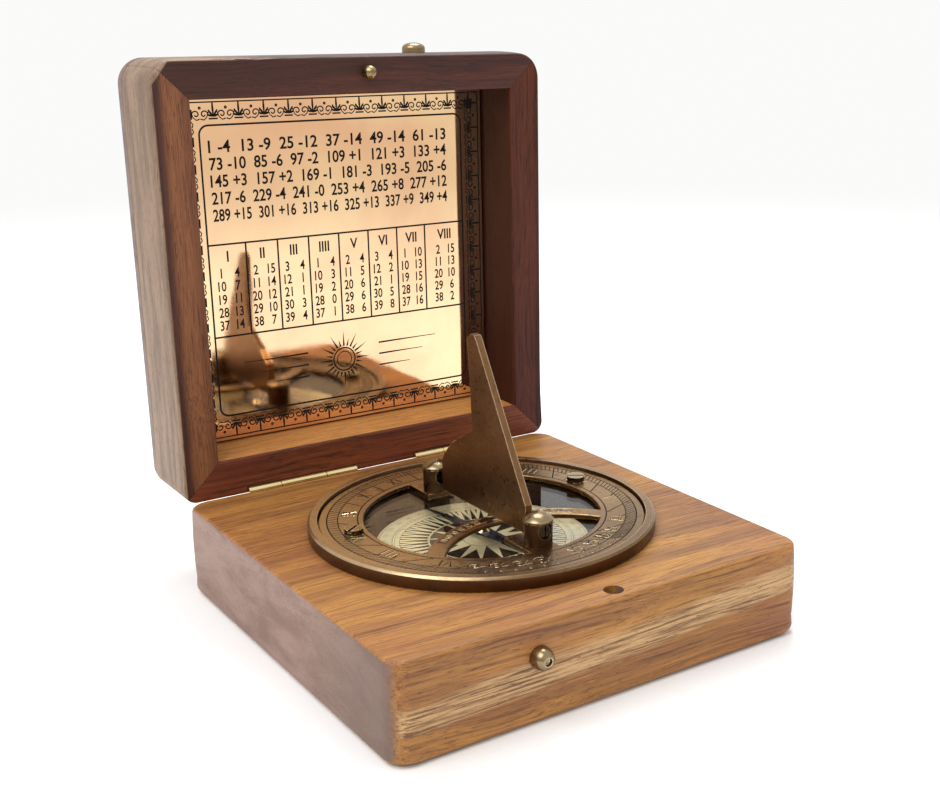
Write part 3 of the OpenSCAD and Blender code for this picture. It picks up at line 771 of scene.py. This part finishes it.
class Engraving:
    """Gathers engraved or etched strokes on a flat face into one mesh.

    All its sizes are in millimetres. place(u, v, height) gives the point over the face.
    """

    def __init__(self, place, rise=0.02, root=0.01):
        self.place, self.rise, self.root = place, rise, root
        self.verts, self.faces = [], []

    def stroke(self, points, width, closed=False, taper=None):
        """A ridge of three-sided section along a line of points."""
        points = [Vector(p) for p in points]
        count = len(points)
        start = len(self.verts)
        for i, p in enumerate(points):
            before = points[(i - 1) % count] if closed or i else p
            after = points[(i + 1) % count] if closed or i < count - 1 else p
            along = (after - before).normalized()
            side = Vector((-along.y, along.x)) * width / 2
            if taper:
                side *= taper(i / max(count - 1, 1))
            for q, height in ((p + side, -self.root), (p, self.rise), (p - side, -self.root)):
                self.verts.append(self.place(q.x, q.y, height))
        spans = count if closed else count - 1
        for i in range(spans):
            a, b = start + 3 * i, start + 3 * ((i + 1) % count)
            for j in range(3):
                k = (j + 1) % 3
                self.faces.append((a + j, a + k, b + k, b + j))
        if not closed:
            self.faces.append((start + 2, start + 1, start))
            self.faces.append(tuple(start + 3 * (count - 1) + j for j in range(3)))

    def line(self, a, b, width):
        self.stroke([a, b], width)

    def circle(self, centre, radius, width, steps=180, start=0, end=360):
        closed = end - start >= 360
        count = steps if closed else steps + 1
        points = [(centre[0] + radius * math.cos(t), centre[1] + radius * math.sin(t))
                  for t in (math.radians(start + (end - start) * i / steps) for i in range(count))]
        self.stroke(points, width, closed)

    def wedge(self, points):
        """A filled flat shape with a convex outline."""
        start, count = len(self.verts), len(points)
        for height in (-self.root, self.rise * 0.6):
            self.verts += [self.place(p[0], p[1], height) for p in points]
        self.faces.append(tuple(start + i for i in reversed(range(count))))
        self.faces.append(tuple(start + count + i for i in range(count)))
        for i in range(count):
            j = (i + 1) % count
            self.faces.append((start + i, start + j, start + count + j, start + count + i))

    def made(self, name, finish, body, slot):
        return piece(name, self.verts, self.faces, finish, body, smooth_angle=10)


def polar(radius, degrees, centre=(0, 0)):
    t = math.radians(degrees)
    return (centre[0] + radius * math.cos(t), centre[1] + radius * math.sin(t))


DIGITS = {  # strokes of each digit on a grid 2 wide and 4 high
    "0": [[(0, 1), (0, 3), (1, 4), (2, 3), (2, 1), (1, 0), (0, 1)]],
    "1": [[(0.3, 3), (1, 4), (1, 0)]],
    "2": [[(0, 3), (0.4, 3.8), (1, 4), (1.7, 3.7), (2, 3), (1.6, 2), (0, 0), (2, 0)]],
    "3": [[(0, 3.6), (1, 4), (1.9, 3.4), (1.9, 2.6), (1, 2.1), (2, 1.6), (2, 0.6), (1, 0),
           (0, 0.4)]],
    "4": [[(1.5, 0), (1.5, 4), (0, 1.2), (2, 1.2)]],
    "5": [[(2, 4), (0.3, 4), (0, 2.2), (1, 2.6), (1.9, 2), (1.9, 0.7), (1, 0), (0, 0.4)]],
    "6": [[(1.8, 3.8), (1, 4), (0.1, 3), (0, 1), (1, 0), (2, 0.8), (1.9, 1.9), (1, 2.3),
           (0.1, 1.6)]],
    "7": [[(0, 4), (2, 4), (0.7, 0)]],
    "8": [[(1, 2.2), (0.2, 2.8), (0.3, 3.7), (1, 4), (1.7, 3.7), (1.8, 2.8), (1, 2.2), (0, 1.5),
           (0.1, 0.4), (1, 0), (1.9, 0.4), (2, 1.5), (1, 2.2)]],
    "9": [[(0.2, 0.2), (1, 0), (1.9, 1), (2, 3), (1, 4), (0, 3.2), (0.1, 2.1), (1, 1.7),
           (1.9, 2.4)]],
    "I": [[(1, 0), (1, 4)]],
    "V": [[(0, 4), (1, 0), (2, 4)]],
    "X": [[(0, 4), (2, 0)], [(0, 0), (2, 4)]],
}
WIDTHS = {"I": 1.1, "1": 1.5}  # narrower than the rest, which are 2 wide


def write(engraving, text, middle, height, degrees, width, gap):
    """Numbers or numerals centred at a point and turned by degrees, their strokes width wide.

    gap is the space between them, in quarters of their height.
    """
    unit = height / 4
    advance = [WIDTHS.get(c, 2.0) for c in text]
    total = sum(advance) + gap * (len(text) - 1)
    spin = Matrix.Rotation(math.radians(degrees), 2)
    x = -total / 2
    for c, step in zip(text, advance):
        shift = (step - 2.0) / 2
        for path in DIGITS[c]:
            points = [Vector(middle) + spin @ Vector(((x + shift + px) * unit, (py - 2) * unit))
                      for px, py in path]
            engraving.stroke(points, width)
        x += step + gap


def print_figures(engraving, text, centre, height, stretch=1.0, weight=0.0, fit=None):
    """Figures in the plain built-in letter form, centred at a point on the engraving.

    height is that of a numeral; stretch narrows them, and fit, if given, sets the line's width.
    """
    curve = bpy.data.curves.new("figures", "FONT")
    curve.body, curve.offset, curve.extrude = text, weight, 0.01
    curve.resolution_u = 3
    obj = bpy.data.objects.new("figures", curve)
    bpy.context.collection.objects.link(obj)
    bpy.context.view_layer.update()
    graph = bpy.context.evaluated_depsgraph_get()
    mesh = bpy.data.meshes.new_from_object(obj.evaluated_get(graph))
    xs = [v.co.x for v in mesh.vertices]
    scale = height / 0.69
    middle, width = (min(xs) + max(xs)) / 2, max(xs) - min(xs)
    across = fit / width if fit else scale * stretch
    start = len(engraving.verts)
    for v in mesh.vertices:
        engraving.verts.append(engraving.place(centre[0] + (v.co.x - middle) * across,
                                               centre[1] + (v.co.y - 0.345) * scale,
                                               engraving.rise if v.co.z > 0 else -engraving.root))
    for face in mesh.polygons:
        engraving.faces.append(tuple(start + i for i in face.vertices))
    bpy.data.objects.remove(obj)
    bpy.data.curves.remove(curve)
    bpy.data.meshes.remove(mesh)


# -------- dial

def dial_face(u, v, height):
    return Vector((u, v, height)) * MM + Vector((0, 0, DIAL_Z))


LATITUDE = math.radians(51.5)
FOOT = (middle_of("front_post").x / MM, middle_of("front_post").y / MM - 0.8)  # where the hour lines meet


def hour_angle(hours):
    """Direction of an hour line, in degrees from +X, for hours after noon."""
    turn = math.radians(15 * hours)
    lean = math.atan2(math.sin(LATITUDE) * math.sin(turn), math.cos(turn))
    return 90 - math.degrees(lean)


def on_ring(direction, radius):
    """The point where a line from the foot in a direction meets a circle round the dial."""
    t = math.radians(direction)
    d = Vector((math.cos(t), math.sin(t)))
    foot = Vector(FOOT)
    b = foot.dot(d)
    return foot + d * (-b + math.sqrt(b * b - foot.length_squared + radius * radius))


ROMAN = ["XII", "I", "II", "III", "IIII", "V", "VI", "VII", "VIII", "IX", "X", "XI"]


def hour_marks(art, weight=1.0):
    """Circles, five-minute ticks and hour numerals; weight scales the lines' width."""
    thin, line = 0.3 * weight, 0.4 * weight
    inner, scale_in, scale_out = 28.0, 32.4, 34.8
    art.circle((0, 0), inner, line, 240)
    art.circle((0, 0), scale_in, thin, 240)
    art.circle((0, 0), scale_out, line, 240)
    for step in range(-7 * 12, 7 * 12 + 1):
        direction = hour_angle(step / 12)
        start = scale_in
        if step % 12 == 0:
            start = inner + 0.2
        elif step % 6 == 0:
            start = scale_in - 1.0
        art.line(on_ring(direction, start), on_ring(direction, scale_out),
                 thin if step % 6 else line)
    hour_numerals(art, weight)


def hour_numerals(art, weight):
    """The hours, each between its lines, and the leaf scrolls below them."""
    for hours in [h for h in range(-7, 8) if h]:
        spot = on_ring(hour_angle(hours - math.copysign(0.5, hours)), 30.25)
        facing = math.degrees(math.atan2(spot.y, spot.x)) - 90
        write(art, ROMAN[hours % 12], spot, 3.0, facing, 0.6 * weight, 0.8)
    leaf_scrolls(art, weight)


def dial_engraving():
    """Dark engraved lines, and painted glints: bright strokes along the lower side of the numerals and
    scrolls.
    """
    dark = Engraving(dial_face, rise=0.04, root=0.012)
    hour_marks(dark)
    dark.made("dial_engraving", "dark_filling", "box", "aged_brass")
    # Painted highlight: bright strokes offset below the numerals, as glints on their edges.
    painted_glints = Engraving(lambda u, v, h: dial_face(u + 0.05, v - 0.16, h), rise=0.035, root=0.03)
    hour_numerals(painted_glints, 0.45)
    painted_glints.made("dial_painted_glints", "glint_brass", "box", "aged_brass")


def spiral(centre, radius, turns, start, wind=1, steps=26):
    """Points of a scroll that tightens towards its centre."""
    return [polar(radius * (1 - 0.82 * i / steps), start + wind * 360 * turns * i / steps, centre)
            for i in range(steps + 1)]


def leaf_scrolls(art, weight):
    """Leafy scrolls that fill the front of the ring, each side of the middle line."""
    for side in (-1, 1):
        for degrees, size in ((9, 2.0), (18, 1.7), (27, 1.5), (35, 1.3)):
            centre = polar(31.2, 270 + side * degrees)
            art.stroke(spiral(centre, size, 1.3, 90 - side * 60, side), 0.45 * weight,
                       taper=lambda t: 1 - 0.5 * t)
            for leaf in range(3):
                tip = polar(size + 0.9, 80 + side * (20 + 45 * leaf), centre)
                art.stroke([polar(size * 0.8, 80 + side * (35 + 45 * leaf), centre), tip],
                           0.45 * weight, taper=lambda t: 1 - 0.8 * t)
        for dot in range(6):
            art.circle(polar(33.9, 270 + side * (5 + 5.2 * dot)), 0.3, 0.25 * weight, 8)


def band_engraving():
    """The arched band across the window: a dark field with bright figures between two lines."""
    centre, outer, inner = (0, -30.6), 28.0, 23.9
    first, last = 49, 131
    field = Engraving(dial_face, rise=0.012, root=0.01)
    rim_in, rim_out, steps = inner + 1.1, outer - 0.75, 40
    for i in range(steps):
        a, b = (first + (last - first) * j / steps for j in (i, i + 1))
        field.wedge([polar(rim_in, a, centre), polar(rim_out, a, centre),
                     polar(rim_out, b, centre), polar(rim_in, b, centre)])
    field.made("band_field", "field_brass", "box", "aged_brass")
    art = Engraving(dial_face, rise=0.05, root=0.02)
    for radius in (rim_in, rim_out):
        art.circle(centre, radius, 0.22, 60, first, last)
    middle = (rim_in + rim_out) / 2
    for index in range(-7, 8):
        if abs(index) < 2:
            continue
        a = 90 - 5.4 * index
        write(art, str(10 * abs(index)), polar(middle, a, centre), 1.45, a - 90, 0.22, 0.7)
    art.made("band_figures", "glint_brass", "box", "aged_brass")


# -------- compass card

def card_face(u, v, height):
    return Vector((u, v, height)) * MM + Vector((0, 0, CARD_Z))


def card_engraving():
    art = Engraving(card_face, rise=0.012, root=0.01)
    edge, scale, rays, hub = CARD_R / MM - 0.5, 20.6, 18.9, 4.4
    for radius, width in ((edge, 0.16), (scale, 0.16), (scale - 0.5, 0.12), (rays, 0.2),
                          (12.4, 0.14), (hub, 0.2)):
        art.circle((0, 0), radius, width)
    for step in range(180):
        a = 2 * step
        length = 1.0 if step % 5 == 0 else 0.55
        art.line(polar(scale, a), polar(scale + length, a), 0.12)
    for step in range(36):
        a = 90 - 10 * step
        write(art, str(10 * step if step else 360), polar(22.5, a), 1.05, a - 90, 0.13, 0.6)
    for step in range(48):
        a = 7.5 * step
        half = 2.9
        art.wedge([polar(12.6, a - half), polar(12.6, a + half),
                   polar(rays + (1.1 if step % 2 else 0.2), a)])
        art.wedge([polar(rays - 3, a + 3.75), polar(rays, a + 4.6), polar(rays, a + 2.9)])
    for step in range(16):
        a = 22.5 * step
        tip = hub if step % 2 else 6.5
        art.wedge([polar(12.2, a - 10.6), polar(12.2, a), polar(12.2, a + 10.6), polar(tip, a)])
    return art.made("card_engraving", "black_filling", "box", "card_brass")


dial_engraving()
band_engraving()
card_engraving()


# -------- plate in the lid

PLATE_MID_Z = middle_of("lid_plate").z
PLATE_HALF = (PLATE_HIGH.z - PLATE_LOW.z) / 2 / MM


def plate_face(u, v, height):
    return Vector((u, -height, v)) * MM + Vector((0, PLATE_LOW.y, PLATE_MID_Z))


def sun_minutes(day_of_year):
    """Minutes by which a sundial runs ahead of a clock."""
    turn = 2 * math.pi * (day_of_year - 81) / 364
    return 9.87 * math.sin(2 * turn) - 7.53 * math.cos(turn) - 1.5 * math.sin(turn)


def plate_etching():
    """The plate's black etched frame, border, rows of figures, table and sun."""
    art = Engraving(plate_face, rise=0.009, root=0.003)
    frame_half, border_half = PLATE_HALF - 6.1, PLATE_HALF - 0.8
    corners = [Vector(p) * border_half for p in ((-1, -1), (1, -1), (1, 1), (-1, 1))]
    art.stroke(corners, 0.6, closed=True)
    art.stroke(rounded_square(frame_half, 2.2, 6, 2), 0.6, closed=True)
    border_ornament(art, border_half - 2.3)
    number_rows(art)
    minutes_table(art, frame_half)
    sunburst(art, (-1.2, -25.4))
    return art.made("plate_etching", "black_filling", "lid", "polished_brass")


def border_ornament(art, middle):
    """Palmettes linked by scrolls, round all four sides of the plate."""
    pitch, count = 6.3, 12
    for side in range(4):
        spin = Matrix.Rotation(math.radians(90 * side), 2)
        for index in range(count + 1):
            x = (index - count / 2) * pitch
            foot = Vector((x, middle - 1.5))
            art.stroke([spin @ (foot + Vector((-1.1, 0))), spin @ (foot + Vector((1.1, 0)))], 0.5)
            for leaf, length in ((-2, 1.5), (-1, 1.9), (0, 3.3), (1, 1.9), (2, 1.5)):
                root = foot + Vector((0, 0.5))
                tip = root + Vector(polar(length, 90 + 36 * leaf))
                art.stroke([spin @ root, spin @ root.lerp(tip, 0.5), spin @ tip], 0.72,
                           taper=lambda t: 0.45 + 1.5 * t * (1.15 - t))
            if index == count:
                continue
            for way in (-1, 1):
                centre = (x + pitch / 2 + way * 1.0, middle - 0.5)
                curl = spiral(centre, 1.0, 1.0, 90 - way * 90, way, 14)
                art.stroke([spin @ Vector(p) for p in curl], 0.42)
                stem = [(x + pitch / 2 + way * r, middle + h)
                        for r, h in ((0.1, -1.5), (0.9, -1.75), (1.6, -1.2), (2.0, -0.2), (2.3, 0.5))]
                art.stroke([spin @ Vector(p) for p in stem], 0.42, taper=lambda t: 1 - 0.4 * t)
            bead = spin @ Vector((x + pitch / 2, middle + 1.0))
            art.circle(bead, 0.22, 0.45, 8)


def number_rows(art):
    """Five close rows of figures: days of the year with the sun's minutes on each."""
    day = 1
    for row in range(5):
        pairs = []
        for _ in range(6):
            pairs.append(f"{day} {sun_minutes(day):+.0f}")
            day += 12
        print_figures(art, "  ".join(pairs), (-1.3, 30.3 - 4.02 * row), 2.75, weight=0.02, fit=64)


def minutes_table(art, half):
    """A ruled table: a column for each eighth of the year, headed by a numeral."""
    top, bottom, columns = 7.2, -15.3, 8
    edges = [-half] + [-25.8 + 8.23 * i for i in range(columns - 1)] + [half]
    for v in (top, bottom):
        art.line((-half, v), (half, v), 0.58)
    for column, (left, right) in enumerate(zip(edges, edges[1:])):
        if column:
            art.line((left, bottom), (left, top), 0.58)
        middle = (left + right) / 2
        print_figures(art, ROMAN[(column + 1) % 12], (middle, 4.3), 2.5, 0.85, 0.022)
        for row in range(5):
            day = 9 * row + column % 3 + 1
            minutes = abs(round(sun_minutes(45 * column + day)))
            v = 0.3 - 3.2 * row
            print_figures(art, str(day), (middle - 1.9, v), 2.3, 0.76, 0.018)
            print_figures(art, str(minutes), (middle + 2.1, v), 2.3, 0.76, 0.018)


def sunburst(art, centre):
    """A rayed sun, the sign of a dial, with rules each side."""
    art.circle(centre, 3.0, 0.5, 48)
    art.circle(centre, 2.0, 0.3, 40)
    for ray in range(24):
        a = 15 * ray
        reach = 7.6 if ray % 2 == 0 else 5.6
        art.wedge([polar(3.5, a - 4.5, centre), polar(3.5, a + 4.5, centre),
                   polar(reach, a, centre)])
    for side in (-1, 1):
        for row in range(3):
            v = centre[1] + (1 - row) * 3.0
            near, far = centre[0] + side * 10, centre[0] + side * (27 - 4 * row)
            art.stroke([(near, v), (far, v)], 0.6, taper=lambda t: 1 - 0.6 * t)


plate_etching()


# -------- CAD pieces and their finishes

def soften(node, width):
    """Rounds a CAD piece's sharp edges a little, as filing and handling would."""
    obj = frame["nodes"][node]
    weld = obj.modifiers.new("weld", "WELD")
    weld.merge_threshold = 0.002 * MM
    bevel = obj.modifiers.new("soften", "BEVEL")
    bevel.width, bevel.segments = width, 2
    bevel.limit_method, bevel.angle_limit = "ANGLE", math.radians(38)
    bevel.harden_normals = True
    bevel.use_clamp_overlap = True


def dress(node, finish):
    for material_slot in frame["nodes"][node].material_slots:
        material_slot.material = FINISHES[finish]


CAD_FINISHES = {
    "lid_plate": "polished_brass", "lid_peg": "peg_brass", "lid_knob": "knob_brass",
    "base_knob": "knob_brass", "compass_bowl": "bowl_brass", "compass_card": "card_brass",
    "compass_glass": "glass", "needle": "needle_steel", "needle_cap": "hinge_brass",
    "needle_pivot": "hinge_brass", "dial_plate": "dial_brass", "dial_screws": "screw_brass",
    "rear_post": "post_brass", "front_post": "post_brass", "post_domes": "knob_brass",
    # The pivot screws are dark as painted shade inside their bores.
    "rear_pivot_screw": "painted_shade_bore_brass", "front_pivot_screw": "painted_shade_bore_brass",
    "gnomon": "gnomon_brass", "hinge_base_screws": "peg_brass", "hinge_lid_screws": "peg_brass",
    **{f"{side}_hinge_{part}": "hinge_brass"
       for side in ("left", "right") for part in ("base_leaf", "lid_leaf", "pin")},
}
for node_name, finish_name in CAD_FINISHES.items():
    dress(node_name, finish_name)
for node_name, edge in (("gnomon", 0.22), ("dial_plate", 0.25), ("compass_bowl", 0.25),
                        ("dial_screws", 0.15), ("post_domes", 0.12)):
    soften(node_name, edge * MM)


# -------- camera, light and floor

def camera():
    """The photograph's viewpoint: from the front left, a little above."""
    azimuth, elevation, roll = math.radians(-35.43), math.radians(16.73), math.radians(-0.06)
    spot = Vector((-148.4, -242.6, 131.3)) * MM
    back = Vector((math.sin(azimuth) * math.cos(elevation),
                   -math.cos(azimuth) * math.cos(elevation), math.sin(elevation)))
    right = Vector((math.cos(azimuth), math.sin(azimuth), 0))
    up = back.cross(right)
    turned_right = right * math.cos(roll) + up * math.sin(roll)
    turned_up = up * math.cos(roll) - right * math.sin(roll)
    data = bpy.data.cameras.new("camera")
    data.lens, data.sensor_width = 51.2, 36
    data.shift_x, data.shift_y = -0.106, 0.026
    data.clip_start, data.clip_end = 0.01, 20
    obj = bpy.data.objects.new("camera", data)
    bpy.context.collection.objects.link(obj)
    rotation = Matrix((turned_right, turned_up, back)).transposed()
    obj.matrix_world = Matrix.Translation(spot) @ rotation.to_4x4()
    bpy.context.scene.camera = obj


def softbox(name, spot, size, power):
    """A square lamp aimed at the object's middle."""
    data = bpy.data.lights.new(name, "AREA")
    data.shape, data.size, data.energy = "SQUARE", size, power
    obj = bpy.data.objects.new(name, data)
    bpy.context.collection.objects.link(obj)
    obj.location = spot
    obj.rotation_euler = (Vector((0, 0, 0.04)) - Vector(spot)).to_track_quat("-Z", "Y").to_euler()


def floor():
    """White paper that thins out to the studio's white background away from the object."""
    mesh = bpy.data.meshes.new("floor")
    reach, drop = 1.3, -0.0002
    mesh.from_pydata([(-reach, -reach, drop), (reach, -reach, drop), (reach, reach, drop),
                      (-reach, reach, drop)], [], [(0, 1, 2, 3)])
    obj = bpy.data.objects.new("floor", mesh)
    bpy.context.collection.objects.link(obj)
    f = Finish("floor_paper")
    grain = f.noise(f.place(), 0.8, 3, 0.5)
    tone = f.mix(f.span(grain, 0.3, 0.7), (0.89, 0.89, 0.895), (0.905, 0.905, 0.91))
    away = f.add("ShaderNodeVectorMath", {0: f.add("ShaderNodeTexCoord").outputs["Object"]},
                 operation="LENGTH").outputs["Value"]
    mesh.materials.append(f.finish(base_color=tone, roughness=0.75, alpha=f.span(away, 0.85, 0.22)))


def world():
    """White to the eye; what the metal mirrors is bright, but dim in front above the horizon."""
    studio = bpy.data.worlds.new("studio")
    studio.use_nodes = True
    w = Nodes(studio.node_tree)
    _, y, z = w.split(w.add("ShaderNodeTexCoord").outputs["Generated"])
    dim, bright = (0.54, 0.46, 0.39), (0.98, 0.98, 0.97)
    front = w.mix(w.span(z, 0.0, 0.15), (0.88, 0.81, 0.74), dim)
    behind = w.mix(w.span(y, -0.3, 0.35), front, (0.9, 0.9, 0.9))
    sky = w.mix(w.span(z, 0.08, 0.5), behind, bright)
    seen = w.add("ShaderNodeLightPath").outputs["Is Camera Ray"]
    background = studio.node_tree.nodes["Background"]
    w.put(background.inputs["Color"], w.mix(seen, sky, (0.965, 0.96, 0.955)))
    bpy.context.scene.world = studio


camera()
world()
floor()
softbox("key", (-0.5, -0.14, 0.75), 0.6, 4.5)
softbox("top", (0.25, 0.35, 0.8), 0.35, 3.5)
bpy.context.scene.view_settings.view_transform = "Standard"
